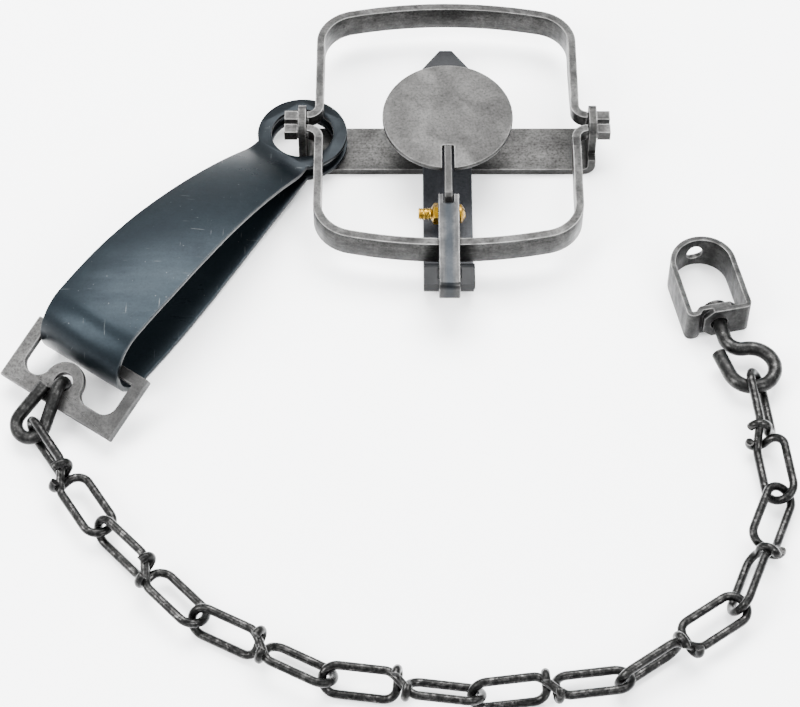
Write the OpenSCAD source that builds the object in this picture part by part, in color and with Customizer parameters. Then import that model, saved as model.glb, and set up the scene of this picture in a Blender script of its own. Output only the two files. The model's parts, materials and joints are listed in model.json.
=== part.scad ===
// Single long-spring foothold trap, lying set and open with its chain laid round the front.
// Millimetres, +Z up, +X along the base bar, +Y to the back; the origin is on the ground
// under the crossing of the two bars.

/* [Base and posts] */
// Width of the base bar
base_w = 21.5; // [18:0.5:26]
// Thickness of the base bar, the cross bar and the posts
bar_t = 3; // [2.6:0.1:3.4]
// Clear length between the two posts
post_gap = 111; // [106:1:120]
// Width of a post
post_w = 14; // [13:0.5:15]
// Metal above the jaw pivots at the top of a post
post_cap = 6.3; // [4.5:0.1:8]
// Outer radius of the bend at the foot of a post
post_bend_r = 5; // [4:0.5:6]
// Height of the full-width shoulder at the free post
shoulder_h = 8.5; // [6:0.5:10]
// Diameter of the rivet that joins the two bars
rivet_d = 6; // [4:0.5:8]

/* [Cross bar] */
// Width of the cross bar
cross_w = 19.2; // [16:0.2:24]
// Reach of the pointed tail behind the centre
tail_reach = 50; // [44:1:56]
// Width of the blunt tip of the tail
tail_tip_w = 5; // [3:0.5:10]
// Length of the taper at the tail
tail_taper = 10; // [6:0.5:14]
// Gap between the front jaw and the riser
riser_gap = 8; // [7:0.5:12]
// Outer radius of the two bends of the riser
riser_bend_r = 4; // [3.8:0.1:4.6]
// Side of the square roll bar that the dog hooks round
roll_side = 2.8; // [2.4:0.1:3]

/* [Jaws] */
// Distance of a leg's outer face from its post
leg_setback = 3.5; // [3.2:0.1:4.5]
// Reach of a jaw's outer face from the centre line
jaw_reach = 62.5; // [58:0.5:68]
// Thickness of the jaw bar
jaw_t = 3.2; // [2.8:0.1:3.4]
// Width of the jaw bar, upright when the jaw is open
jaw_w = 10.6; // [9.6:0.2:11.2]
// Radius of the jaw's corners, outside
jaw_corner_r = 17; // [12:1:24]
// Radius of the arched side of the jaw, outside
jaw_arch_r = 180; // [140:5:300]
// Half of the height of the forged leg end
leg_end_half = 2.6; // [2.3:0.1:2.7]
// Diameter of a jaw's pivot stub
stub_d = 5; // [4:0.1:5.2]
// Length of a stub beyond its post
stub_out = 5.5; // [4:0.5:6]
// Side of the squared stub end
stub_square = 4.4; // [3.6:0.1:4.5]
// Half of the distance between the two jaws' pivots
pivot_y = 3.4; // [3.3:0.05:3.6]
// Height of the pivots above the ground
pivot_z = 17.2; // [16.8:0.2:19]

/* [Pan and dog] */
// Diameter of the pan
pan_d = 51; // [44:1:56]
// Thickness of the pan
pan_t = 2; // [1.6:0.1:2.4]
// Height of the pan's top face above the ground
pan_top_z = 25.6; // [25:0.2:28]
// Place of the pan's centre along Y
pan_y = -2.4; // [-4:0.2:0]
// Tilt of the pan towards the dog, in degrees
pan_tilt = 3; // [1:0.5:4]
// Width of the notch in the pan's front edge
pan_notch_w = 4.7; // [4:0.1:6]
// Length of the notch
pan_notch_l = 11; // [8:0.5:13]
// Thickness of the pan lever
lever_t = 2.8; // [2.4:0.1:3.2]
// Diameter of the pan bolt
bolt_d = 4; // [3:0.1:4.6]
// Height of the bolt above the cross bar's top
bolt_rise = 6.5; // [6:0.5:7.5]
// Place of the bolt along Y
bolt_y = -41; // [-42:0.5:-39]
// Thickness of the bracket's plate
bracket_t = 2; // [1.6:0.1:2.4]
// Width of the dog
dog_w = 8; // [7:0.2:9]
// Thickness of the dog
dog_t = 2.3; // [2:0.1:2.4]
// Space between the front jaw and the dog above it
dog_gap = 2.2; // [2:0.1:3]
// Depth of the fork at the dog's tip
fork_depth = 4.5; // [3.5:0.1:6]

/* [Spring] */
// Thickness of the spring strip
spring_t = 2; // [1.7:0.1:2.1]
// Outer radius of an eye
eye_r = 17.7; // [16.5:0.1:18]
// Radius of the hole in an eye
eye_hole_r = 12.2; // [12:0.1:12.6]
// Distance from the eyes to the centre of the bend
spring_len = 123.5; // [110:0.5:140]
// Outer radius of the bend
bend_r = 15.3; // [14.5:0.1:17]
// Half width of the strip beside the eye
strip_half_eye = 10; // [9:0.5:12]
// Half width of the strip at the bend
strip_half_bend = 18.3; // [17:0.1:19.5]
// Height of the lower eye's middle above the ground
lower_eye_z = 4.8; // [4.7:0.1:5.2]
// Distance of the upper eye's middle below the pivots
eye_drop = 6.3; // [6.2:0.1:7.5]
// Radius of the set bend beside the upper eye
ease_r = 18; // [14:1:22]
// Slope of the upper arm as it leaves the eye, in degrees
arm_pitch = 25; // [22:0.5:26]
// Direction of the spring seen from above, in degrees
spring_heading = -125.2; // [-131:0.1:-120]
// Place of the eyes' centre along X, from the left post's middle
eye_dx = -0.2; // [-0.8:0.1:0.4]
// Place of the eyes' centre along Y
eye_y = 0.8; // [0:0.1:1.2]

/* [Spring plate and hook] */
// Thickness of the spring plate
plate_t = 3; // [2.6:0.1:3.2]
// Width of the plate's inner bar
plate_inner = 4.5; // [4:0.1:5]
// Width of the plate's outer bar
plate_outer = 6.5; // [5.5:0.1:7]
// Width of the plate's side bars
plate_side = 5; // [4:0.2:7]
// Distance from the inner bar's middle to the outer edge
plate_len = 24; // [23.5:0.1:26]
// Distance from the inner bar's middle to the hook's hole
hole_u = 14.4; // [14.2:0.1:15]
// Sideways place of the hole in the plate
hole_v = -2.5; // [-4:0.5:0]
// Downward slope of the plate to the outside, in degrees
plate_slope = 20; // [16:0.5:22]
// Offset of the plate to the side of the spring
plate_shift = 2.2; // [0:0.2:3]
// Diameter of the hook's hole
hole_d = 7.2; // [6.8:0.1:8]
// Radius of the tongue round the hole
tongue_r = 8; // [7.4:0.1:8.2]
// Wire diameter of the S-hook
hook_d = 5; // [4.6:0.1:5.2]
// Bend radius of the S-hook's chain end
hook_loop_r = 5.6; // [5.4:0.1:6.5]
// Sideways turn of the S-hook in its hole, in degrees
hook_yaw = 17; // [5:1:25]

/* [Chain] */
// Wire diameter of the chain
wire_d = 3.2; // [2.8:0.1:3.4]
// Length of a link between its two working points
link_pitch = 50.5; // [46:0.5:56]
// Half width of a loop at its wire's centre
loop_half = 5.4; // [5.2:0.1:6]
// Free play between two links
link_play = 1.5; // [1.4:0.1:2]
// Bend radius of a wire end at the knot
knot_r = 4.3; // [4:0.1:4.6]
// Straight length of a wire end, across the knot
stub_len = 9.1; // [8.6:0.1:10]

/* [Swivel] */
// Width of the swivel strap, upright
strap_w = 14.5; // [13.5:0.5:18]
// Thickness of the strap
strap_t = 2; // [1.6:0.1:2.4]
// Outer width of the swivel box
box_w = 25; // [22:0.5:30]
// Outer length of the swivel box
box_l = 36.5; // [32:0.5:44]
// Diameter of the fixing hole in the arch
fix_hole_d = 7; // [5:0.2:9]
// Wire diameter of the swivel hook
swivel_d = 5.4; // [4.6:0.1:5.6]
// Bend radius of the swivel hook's loop
swivel_loop_r = 8.8; // [8:0.1:10]
// Bend radius where the swivel hook leaves its shank
swivel_neck_r = 6; // [5:0.1:7]
// Turn of the swivel from the last link, in degrees
swivel_turn = 6; // [0:1:12]

/* [Fits] */
// Radial clearance of a running fit
run_fit = 0.08; // [0.05:0.01:0.1]
// Clearance between loose pieces
free_gap = 0.4; // [0.35:0.05:0.5]

/* [Hidden] */
$fn = 48;
LINKS = 8;

raw_steel = "#8d8a86";
blued_steel = "#38464f";
brass = "#c9a23a";
dark_wire = "#5b5955";
pale_steel = "#a9a59d";

// Base and jaws
post_in = post_gap / 2;
post_out = post_in + bar_t;
post_top = pivot_z + post_cap;
cross_top = 2 * bar_t;
jaw_half_w = post_in - leg_setback;
jaw_top = pivot_z + pivot_y - free_gap / 2;
jaw_low = jaw_top - jaw_w;
curl_end = post_in - free_gap;
curl_r = curl_end - jaw_half_w + jaw_t / 2;
leg_pinch_end = pivot_y + 7;
leg_taper_end = pivot_y + 27;

// Dog, tongue and pan
dog_low = jaw_top + dog_gap;
dog_top = dog_low + dog_t;
loop_in = roll_side / 2 * sqrt(2) + free_gap / 2;
roll_z = dog_low - loop_in;
tongue_top = roll_z + roll_side / 2;
riser_y = -(jaw_reach + riser_gap);
slot_len = loop_in + dog_t + 0.4;
roll_y = riser_y - bar_t - slot_len - roll_side;
dog_slot = dog_w + 2 * free_gap;
bolt_z = cross_top + bolt_rise;
dog_tip_y = bolt_y + 0.2;
fork_w = lever_t + 2 * free_gap;
nose_y = dog_tip_y - fork_depth + 2 * free_gap;
ear_r = bolt_d / 2 + 2.2;
ear_in = lever_t / 2 + free_gap / 2;
ear_out = ear_in + bracket_t;
bracket_rivet_d = 3.4;

// Spring: the lower arm runs down to the ground, the upper arm is a tangent from its eye to the bend
eye_x = -(post_in + bar_t / 2) + eye_dx;
strip_r = bend_r - spring_t / 2;
lower_pitch = asin((lower_eye_z - bend_r) / spring_len) + asin(strip_r / spring_len);
upper_eye_z = pivot_z - eye_drop;
ease_start = eye_r - 3.7;
ease_end = [ease_start + ease_r * sin(arm_pitch), upper_eye_z + ease_r * (1 - cos(arm_pitch))];
bow_from = ease_end - [spring_len, bend_r];
bow_r = (pow(strip_r, 2) - pow(norm(bow_from), 2))
    / (2 * (bow_from[0] * sin(arm_pitch) - bow_from[1] * cos(arm_pitch) + strip_r));
bow_centre = ease_end + bow_r * [sin(arm_pitch), -cos(arm_pitch)];
crown = atan((spring_len - bow_centre[0]) / (bend_r - bow_centre[1]));
bend_turn = 180 + lower_pitch - crown;
waist_s = 9;
flare_end = 96;

// Spring plate: its inner bar is seated in the bend, its outer end rides on the S-hook
hook_bend_r = plate_t / 2 + hook_d / 2 + free_gap;
hook_tail = 3;
hook_lift = 1.1;
plate_pitch = -plate_slope;
plate_z = hook_lift + (hook_bend_r + hook_tail + hole_u) * sin(plate_slope)
    + (hook_bend_r + hook_d / 2) * cos(plate_slope);
bar_reach = plate_inner / 2 * cos(plate_slope) + plate_t / 2 * sin(plate_slope);
bar_rise = plate_t / 2 * cos(plate_slope) - plate_inner / 2 * sin(plate_slope);
plate_s = spring_len - bar_reach
    + sqrt(pow(bend_r - spring_t - free_gap, 2) - pow(plate_z + bar_rise - bend_r, 2));
window_half = strip_half_bend + plate_shift + free_gap;
plate_half = window_half + plate_side;

// S-hook, measured along its leg from the hole
hook_reach = plate_len - hole_u + 4.6;
hook_back = 14;

// Chain: heading and roll of each link as laid, and how far its far joint is drawn tight
link_heading = [-57, -46, -27, -7.5, 7, 35, 68, 96];
link_roll = [266, 250, 238, 233, 247, 276, 301, 150];
link_pull = [0.9, 0.75, 0.9, 0.95, 0, 0, 0, 0];
wire_r = wire_d / 2;
knot_gap = 1.2;
hook_seat = hook_loop_r - hook_d / 2 - link_play / 2;
hook_heading = spring_heading + hook_yaw;
seat_angle = link_heading[0] - hook_heading;
chain_start = hook_point(hook_bend_r + hook_reach + hook_seat * cos(seat_angle),
    -hook_loop_r + hook_seat * sin(seat_angle), hook_bend_r);

// Swivel, in its own frame: the shank's axis outwards from the box's flat end
swivel_out = 7.5;
swivel_heading = link_heading[LINKS - 1] + 180 + swivel_turn;
seat_out = swivel_out + swivel_neck_r + 2 * swivel_loop_r - swivel_d / 2 - link_play / 2;

// A point of the spring plate in the part's frame: outwards, sideways and above its middle plane
function plate_point(u, v, w) =
    let (s = plate_s + u * cos(plate_pitch) - w * sin(plate_pitch), t = plate_shift + v)
    [eye_x + s * cos(spring_heading) - t * sin(spring_heading),
     eye_y + s * sin(spring_heading) + t * cos(spring_heading),
     plate_z + u * sin(plate_pitch) + w * cos(plate_pitch)];

// A point of the S-hook's own frame, turned in the plate's hole
function hook_point(a, b, w) =
    plate_point(hole_u + a * cos(hook_yaw) - b * sin(hook_yaw),
        hole_v + a * sin(hook_yaw) + b * cos(hook_yaw), w);

// Height at which a link with its roll lies on the ground
function rest_height(i) =
    wire_r + 0.2 + loop_half * max(abs(sin(link_roll[i])), abs(cos(link_roll[i])));

// Height of the working point before link i
function joint_z(i) = i == 0 ? chain_start[2] : i == LINKS ? strap_w / 2
    : max(rest_height(i - 1), rest_height(i));

function link_rise(i) = asin((joint_z(i + 1) - joint_z(i)) / link_pitch);

// Place of the working point before link i
function chain_joint(i) = i == 0 ? chain_start
    : let (flat = (link_pitch + link_pull[i - 1]) * cos(link_rise(i - 1)), from = chain_joint(i - 1))
      [from[0] + flat * cos(link_heading[i - 1]), from[1] + flat * sin(link_heading[i - 1]), joint_z(i)];

// A strip swept along runs [length] and bends [radius, angle]; a bend turns up, or down where negative
module swept_strip(legs, thick, half_w, i = 0) {
    if (i < len(legs)) {
        leg = legs[i];
        if (len(leg) == 1) {
            translate([0, -half_w, -thick / 2]) cube([leg[0], 2 * half_w, thick]);
            translate([leg[0], 0, 0]) swept_strip(legs, thick, half_w, i + 1);
        } else {
            r = leg[0];
            a = abs(leg[1]);
            side = sign(leg[1]);
            mirror([0, 0, side < 0 ? 1 : 0]) translate([0, 0, r]) rotate([90, 0, 0]) rotate(-90)
                rotate_extrude(angle = a) translate([r - thick / 2, -half_w]) square([thick, 2 * half_w]);
            translate([r * sin(a), 0, side * r * (1 - cos(a))]) rotate([0, -side * a, 0])
                swept_strip(legs, thick, half_w, i + 1);
        }
    }
}

// A wire swept along runs [length], bends [radius, angle] to the left, and rolls [0, 0, angle]
module swept_wire(legs, d, i = 0) {
    if (i < len(legs)) {
        leg = legs[i];
        if (len(leg) == 1) {
            rotate([0, 90, 0]) cylinder(d = d, h = leg[0], $fn = 32);
            translate([leg[0], 0, 0]) swept_wire(legs, d, i + 1);
        } else if (len(leg) == 2) {
            r = leg[0];
            a = abs(leg[1]);
            side = sign(leg[1]);
            mirror([0, side < 0 ? 1 : 0, 0]) translate([0, r, 0]) rotate(-90)
                rotate_extrude(angle = a) translate([r, 0]) circle(d = d, $fn = 32);
            translate([r * sin(a), side * r * (1 - cos(a)), 0]) rotate(side * a)
                swept_wire(legs, d, i + 1);
        } else {
            rotate([leg[2], 0, 0]) swept_wire(legs, d, i + 1);
        }
    }
}

// Side view of one end of the base: the full bar width up to the foot, the post above it
module post_silhouette(foot) {
    round_r = 4;
    translate([-base_w / 2, -1]) square([base_w, foot + 1]);
    translate([-post_w / 2, 0]) square([post_w, post_top - round_r]);
    translate([-post_w / 2 + round_r, 0]) square([post_w - 2 * round_r, post_top]);
    for (side = [-1, 1]) translate([side * (post_w / 2 - round_r), post_top - round_r]) circle(round_r);
}

// Length-wise view of the base: a flat bar whose ends bend up into the posts
module base_profile() {
    inner_r = post_bend_r - bar_t;
    difference() {
        union() {
            translate([-post_out, post_bend_r]) square([2 * post_out, post_top]);
            translate([-post_out + post_bend_r, 0]) square([2 * (post_out - post_bend_r), post_top]);
            for (side = [-1, 1]) translate([side * (post_out - post_bend_r), post_bend_r]) circle(post_bend_r);
        }
        translate([-post_in, post_bend_r]) square([post_gap, post_top]);
        translate([-post_in + inner_r, bar_t]) square([post_gap - 2 * inner_r, post_top]);
        for (side = [-1, 1]) translate([side * (post_in - inner_r), post_bend_r]) circle(inner_r);
    }
}

module base_bar() {
    color(raw_steel) difference() {
        intersection() {
            rotate([90, 0, 0]) linear_extrude(base_w, center = true) base_profile();
            union() {
                rotate([90, 0, 90]) linear_extrude(post_out + 1) post_silhouette(shoulder_h);
                rotate([90, 0, -90]) linear_extrude(post_out + 1) post_silhouette(bar_t);
            }
        }
        for (side = [-1, 1]) translate([-post_out - 1, side * pivot_y, pivot_z]) rotate([0, 90, 0])
            cylinder(r = stub_d / 2 + run_fit, h = 2 * post_out + 2);
        translate([0, 0, -1]) cylinder(d = rivet_d, h = bar_t + 2);
    }
}

// Cross bar: pointed tail, flat on the base bar, up the riser and forward into the slotted tongue
module cross_bar() {
    mid_r = riser_bend_r - bar_t / 2;
    riser_mid = riser_y - bar_t / 2;
    rise = tongue_top - cross_top - 2 * mid_r;
    tongue_run = riser_mid - mid_r - roll_y - roll_side / 2;
    color(blued_steel) difference() {
        union() {
            translate([0, tail_reach, cross_top - bar_t / 2]) rotate(-90)
                swept_strip([[tail_reach - riser_mid - mid_r], [mid_r, 90], [rise], [mid_r, -90], [tongue_run]],
                    bar_t, cross_w / 2);
            translate([-cross_w / 2, roll_y - roll_side / 2, tongue_top - roll_side])
                cube([cross_w, 2 * roll_side, roll_side]);
        }
        for (side = [-1, 1]) translate([0, tail_reach, 0]) linear_extrude(cross_top + 1)
            polygon([[side * tail_tip_w / 2, 1], [side * tail_tip_w / 2, 0],
                     [side * cross_w / 2, -tail_taper], [side * cross_w, -tail_taper], [side * cross_w, 1]]);
        translate([-dog_slot / 2, roll_y + roll_side / 2, tongue_top - 2 * bar_t])
            cube([dog_slot, slot_len, 3 * bar_t]);
        translate([0, 0, bar_t - 1]) cylinder(d = rivet_d, h = bar_t + 2);
        translate([0, bolt_y, bar_t - 1]) cylinder(d = bracket_rivet_d, h = bar_t + 2);
    }
}

module cross_rivet() {
    head_r = 5;
    head_h = 2;
    color(blued_steel) {
        cylinder(d = rivet_d, h = cross_top + head_h / 2);
        translate([0, 0, cross_top]) intersection() {
            cylinder(r = head_r, h = head_h);
            translate([0, 0, head_h - 2 * head_r]) sphere(r = 2 * head_r);
        }
    }
}

// U-shaped bracket that carries the pan bolt between two ears
module pan_bracket() {
    foot_l = 12;
    color(blued_steel) difference() {
        union() {
            translate([-ear_out, bolt_y - foot_l / 2, cross_top]) cube([2 * ear_out, foot_l, bracket_t]);
            for (side = [-1, 1]) translate([side * (ear_in + ear_out) / 2, bolt_y, 0]) rotate([90, 0, 90])
                linear_extrude(bracket_t, center = true) {
                    translate([-ear_r, cross_top]) square([2 * ear_r, bolt_z - cross_top]);
                    translate([0, bolt_z]) circle(ear_r);
                }
        }
        translate([-ear_out - 1, bolt_y, bolt_z]) rotate([0, 90, 0]) cylinder(d = bolt_d, h = 2 * ear_out + 2);
        translate([0, bolt_y, cross_top - 1]) cylinder(d = bracket_rivet_d, h = bracket_t + 2);
    }
}

module bracket_rivet() {
    color(blued_steel) translate([0, bolt_y, bar_t]) cylinder(d = bracket_rivet_d, h = bar_t + bracket_t);
}

// Round-headed screw with a cross recess; its thread end stands out past the nut
module pan_bolt() {
    head_r = 3.8;
    head_h = 3;
    thread_out = 7.9;
    color(brass) translate([0, bolt_y, bolt_z]) rotate([0, 90, 0]) {
        translate([0, 0, -ear_out - thread_out]) cylinder(d = bolt_d, h = thread_out + 2 * ear_out);
        translate([0, 0, ear_out]) difference() {
            intersection() {
                cylinder(r = head_r, h = head_h);
                translate([0, 0, head_h - 1.4 * head_r]) sphere(r = 1.4 * head_r);
            }
            for (turn = [0, 90]) rotate(turn) translate([-head_r, -0.4, head_h - 1])
                cube([2 * head_r, 0.8, 2]);
        }
    }
}

module pan_nut() {
    nut_r = 4.2;
    nut_h = 3;
    color(brass) translate([-ear_out, bolt_y, bolt_z]) rotate([0, -90, 0]) difference() {
        intersection() {
            cylinder(r = nut_r, h = nut_h, $fn = 6);
            translate([0, 0, nut_h - 1.35 * nut_r]) sphere(r = 1.45 * nut_r);
        }
        translate([0, 0, -1]) cylinder(d = bolt_d, h = nut_h + 2);
    }
}

// Height of the tilted pan's underside at a distance along Y
function pan_under(y) = pan_top_z - pan_t / cos(pan_tilt) + (y - pan_y) * tan(pan_tilt);

// Upright lever: eye on the bolt, nose standing in the dog's fork, arm under the pan
module pan_lever() {
    eye = ear_r - 0.4;
    nose_top = dog_top + 3.4;
    notch_end = pan_y - pan_d / 2 + pan_notch_l - free_gap;
    arm_end = pan_y + 10;
    arm_deep = 4;
    color(raw_steel) difference() {
        union() {
            translate([0, bolt_y, bolt_z]) rotate([0, 90, 0]) cylinder(r = eye, h = lever_t, center = true);
            rotate([90, 0, 90]) linear_extrude(lever_t, center = true) polygon([
                     [bolt_y - eye + 0.5, bolt_z - 1], [nose_y, bolt_z + eye], [nose_y, nose_top - 1.2],
                     [nose_y + 1.2, nose_top], [nose_y + 5, nose_top],
                     [notch_end, pan_under(notch_end) + pan_t + 0.6], [notch_end, pan_under(notch_end)],
                     [arm_end, pan_under(arm_end)], [arm_end, pan_under(arm_end) - arm_deep + 1],
                     [notch_end + 2, pan_under(notch_end) - arm_deep - 1], [bolt_y + eye - 0.5, bolt_z - 1]]);
        }
        translate([-lever_t, bolt_y, bolt_z]) rotate([0, 90, 0])
            cylinder(r = bolt_d / 2 + run_fit, h = 2 * lever_t);
    }
}

module pan() {
    color(raw_steel) translate([0, pan_y, pan_top_z]) rotate([pan_tilt, 0, 0]) difference() {
        translate([0, 0, -pan_t]) cylinder(d = pan_d, h = pan_t, $fn = 96);
        translate([-pan_notch_w / 2, -pan_d / 2 - 1, -pan_t - 1]) cube([pan_notch_w, pan_notch_l + 1, pan_t + 2]);
    }
}

// Plan inside a jaw's outer face, drawn in by inset: legs, round corners and the arched side
module jaw_area(inset) {
    corner_x = jaw_half_w - jaw_corner_r;
    arch_y = jaw_arch_r - jaw_reach;
    corner_y = arch_y - sqrt(pow(jaw_arch_r - jaw_corner_r, 2) - pow(corner_x, 2));
    arch = jaw_arch_r - inset;
    lean = asin(corner_x / (jaw_arch_r - jaw_corner_r));
    side_y = arch_y - arch * cos(lean);
    side_x = arch * sin(lean);
    translate([-jaw_half_w + inset, corner_y]) square([2 * (jaw_half_w - inset), -corner_y]);
    polygon([[-corner_x, corner_y], [-side_x, side_y], [side_x, side_y], [corner_x, corner_y]]);
    for (side = [-1, 1]) translate([side * corner_x, corner_y]) circle(jaw_corner_r - inset, $fn = 96);
    intersection() {
        translate([0, arch_y]) circle(arch, $fn = 360);
        translate([-side_x, -jaw_reach]) square([2 * side_x, side_y + jaw_reach]);
    }
}

// One jaw lying open to the front: bar, pinched legs, bends and stubs
module jaw() {
    bend_y = -pivot_y - curl_r;
    intersection() {
        translate([0, 0, jaw_low]) linear_extrude(jaw_w) difference() {
            jaw_area(0);
            jaw_area(jaw_t);
        }
        rotate([90, 0, 90]) linear_extrude(2 * jaw_half_w + 2, center = true)
            polygon([[bend_y, pivot_z - leg_end_half], [bend_y, pivot_z + leg_end_half],
                     [bend_y - 5, jaw_top], [-jaw_reach - 1, jaw_top], [-jaw_reach - 1, jaw_low],
                     [-leg_taper_end, jaw_low], [-leg_pinch_end, pivot_z - pivot_y + free_gap / 2]]);
    }
    for (side = [0, 1]) mirror([side, 0, 0]) {
        translate([curl_end, bend_y, pivot_z]) rotate(90)
            rotate_extrude(angle = 90) translate([curl_r - jaw_t / 2, -leg_end_half])
                square([jaw_t, 2 * leg_end_half]);
        translate([curl_end - 0.5, -pivot_y, pivot_z]) rotate([0, 90, 0])
            cylinder(d = stub_d, h = post_out + free_gap + 0.5 - curl_end);
        translate([post_out + free_gap, -pivot_y - stub_square / 2, pivot_z - stub_square / 2])
            cube([stub_out - free_gap, stub_square, stub_square]);
    }
}

module front_jaw() { color(raw_steel) jaw(); }

module back_jaw() { color(raw_steel) mirror([0, 1, 0]) jaw(); }

// Dog: a strip over the front jaw, hooked round the roll bar, forked at its tip
module dog() {
    out = loop_in + dog_t;
    round_r = dog_t;
    color(pale_steel) difference() {
        rotate([90, 0, 90]) linear_extrude(dog_w, center = true) difference() {
            union() {
                translate([roll_y, roll_z + loop_in]) square([dog_tip_y - roll_y, dog_t]);
                translate([roll_y - out, roll_z - out + round_r]) square([out + loop_in, 2 * (out - round_r)]);
                translate([roll_y - out + round_r, roll_z - out]) square([out + loop_in - round_r, 2 * out]);
                for (up = [-1, 1]) translate([roll_y - out + round_r, roll_z + up * (out - round_r)])
                    circle(round_r);
            }
            translate([roll_y - loop_in, roll_z - loop_in]) square([2 * loop_in + out, 2 * loop_in]);
        }
        translate([-fork_w / 2, dog_tip_y - fork_depth, dog_low - 1]) cube([fork_w, fork_depth + 1, dog_t + 2]);
    }
}

// The spring's own frame: the eye at its origin, +X towards the bend
module spring_frame() {
    translate([eye_x, eye_y, 0]) rotate(spring_heading) children();
}

// Outline of the strip in plan as an upright block: an eye, and a blade that widens towards the bend
module strip_prism() {
    tall = 2 * bend_r + 6;
    blade_end = spring_len + bend_r + 1;
    translate([0, 0, -1]) difference() {
        union() {
            cylinder(tall, r = eye_r, $fn = 96);
            linear_extrude(tall) polygon([[waist_s, -strip_half_eye], [flare_end, -strip_half_bend],
                [blade_end, -strip_half_bend], [blade_end, strip_half_bend],
                [flare_end, strip_half_bend], [waist_s, strip_half_eye]]);
        }
        translate([0, 0, -1]) cylinder(tall + 2, r = eye_hole_r, $fn = 96);
    }
}

module spring_lower_arm() {
    run = spring_len / cos(lower_pitch) - strip_r * tan(lower_pitch);
    color(blued_steel) spring_frame() intersection() {
        translate([0, 0, lower_eye_z]) rotate([0, lower_pitch, 0]) translate([-eye_r - 1, 0, 0])
            swept_strip([[eye_r + 1 + run]], spring_t, eye_r + 3);
        strip_prism();
    }
}

module spring_bend() {
    color(blued_steel) spring_frame() intersection() {
        translate([spring_len - strip_r * sin(lower_pitch), 0, bend_r - strip_r * cos(lower_pitch)])
            rotate([0, lower_pitch, 0]) swept_strip([[strip_r, bend_turn]], spring_t, eye_r + 3);
        strip_prism();
    }
}

// A point of the upper arm's set bend beside the eye, above or below the strip's middle
function ease_point(a, side) =
    [ease_start + (ease_r - side) * sin(a), upper_eye_z + ease_r - (ease_r - side) * cos(a)];

// A point of the upper arm's long bow where its slope is a
function bow_point(a, side) = bow_centre + (bow_r + side) * [-sin(a), cos(a)];

// Upper arm: one side profile, flat at the eye and bowed over to the bend, cut to the strip's plan
module spring_upper_arm() {
    half_t = spring_t / 2;
    ease = [0 : 0.25 : 1];
    bow = [0.1 : 0.1 : 1];
    fall = arm_pitch + crown;
    color(blued_steel) spring_frame() intersection() {
        rotate([90, 0, 0]) linear_extrude(2 * eye_r + 6, center = true) polygon(concat(
            [[-eye_r - 1, upper_eye_z - half_t]],
            [for (k = ease) ease_point(k * arm_pitch, -half_t)],
            [for (k = bow) bow_point(arm_pitch - k * fall, -half_t)],
            [for (k = bow) bow_point(-crown + (k - 0.1) * fall, half_t)],
            [for (k = ease) ease_point((1 - k) * arm_pitch, half_t)],
            [[-eye_r - 1, upper_eye_z + half_t]]));
        strip_prism();
    }
}

// Frame of the spring plate: +X outwards, origin in the middle of the inner bar
module plate_frame() {
    spring_frame() translate([plate_s, plate_shift, plate_z]) rotate([0, -plate_pitch, 0]) children();
}

// Buckle round the bend: a window for the strip, and a round tongue with the hook's hole
module spring_plate() {
    bay_r = 5;
    bay_end = plate_len - plate_outer;
    bay_top = bay_end - bay_r;
    neck = sqrt(pow(tongue_r, 2) - pow(hole_u - bay_top, 2));
    color(pale_steel) plate_frame() linear_extrude(plate_t, center = true) difference() {
        translate([-plate_inner / 2, -plate_half]) square([plate_len + plate_inner / 2, 2 * plate_half]);
        difference() {
            union() {
                translate([plate_inner / 2, -window_half]) square([bay_top - plate_inner / 2, 2 * window_half]);
                for (side = [-1, 1]) {
                    inner = hole_v + side * (neck + bay_r);
                    outer = side * (window_half - bay_r);
                    translate([bay_top - 1, min(inner, outer)]) square([bay_r + 1, abs(outer - inner)]);
                    translate([bay_top, inner]) circle(bay_r);
                    translate([bay_top, outer]) circle(bay_r);
                }
            }
            translate([hole_u, hole_v]) circle(tongue_r);
        }
        translate([hole_u, hole_v]) circle(d = hole_d);
    }
}

// S-hook: one bend through the plate's hole, the other round the first chain loop
module s_hook() {
    color(dark_wire) plate_frame() translate([hole_u, hole_v, 0]) rotate(hook_yaw)
        translate([hook_bend_r + hook_tail, 0, -hook_bend_r]) rotate([90, 0, 180])
            swept_wire([[hook_tail], [hook_bend_r, 180], [0, 0, 90], [hook_reach], [hook_loop_r, -180],
                [hook_back]], hook_d);
}

// One half of a link: a loop whose wire end turns square across its own leg at the knot
module link_loop() {
    start = -wire_r - link_play / 2;
    knot = link_pitch / 2;
    leg = knot - start - loop_half;
    translate([knot, -loop_half, 0]) rotate(180)
        swept_wire([[leg], [loop_half, -180], [leg - knot_r - knot_gap], [knot_r, -90], [stub_len]], wire_d);
}

// A double-loop link of one wire: two loops a quarter turn apart, tied where they meet
module chain_link(i) {
    color(dark_wire) translate(chain_joint(i)) rotate([0, -link_rise(i), link_heading[i]])
        rotate([link_roll[i], 0, 0]) {
            link_loop();
            translate([link_pitch, 0, 0]) rotate([90, 0, 180]) link_loop();
        }
}

// Frame of the swivel: +X along the shank out of the box, origin in the middle of the box's flat end
module swivel_frame() {
    translate(chain_joint(LINKS)) rotate(swivel_heading) translate([-seat_out, -swivel_neck_r, 0]) children();
}

// Swivel hook: headed shank in the box, then an open hook round the last chain loop
module swivel_hook() {
    head_d = 9.5;
    head_h = 3;
    shank = 2 * strap_t + free_gap;
    tip_run = 6;
    color(dark_wire) swivel_frame() {
        translate([-shank, 0, 0]) swept_wire([[shank + swivel_out], [swivel_neck_r, 90],
            [swivel_loop_r, -270], [tip_run]], swivel_d);
        translate([-shank - head_h, 0, 0]) rotate([0, 90, 0]) cylinder(d = head_d, h = head_h);
    }
}

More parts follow.
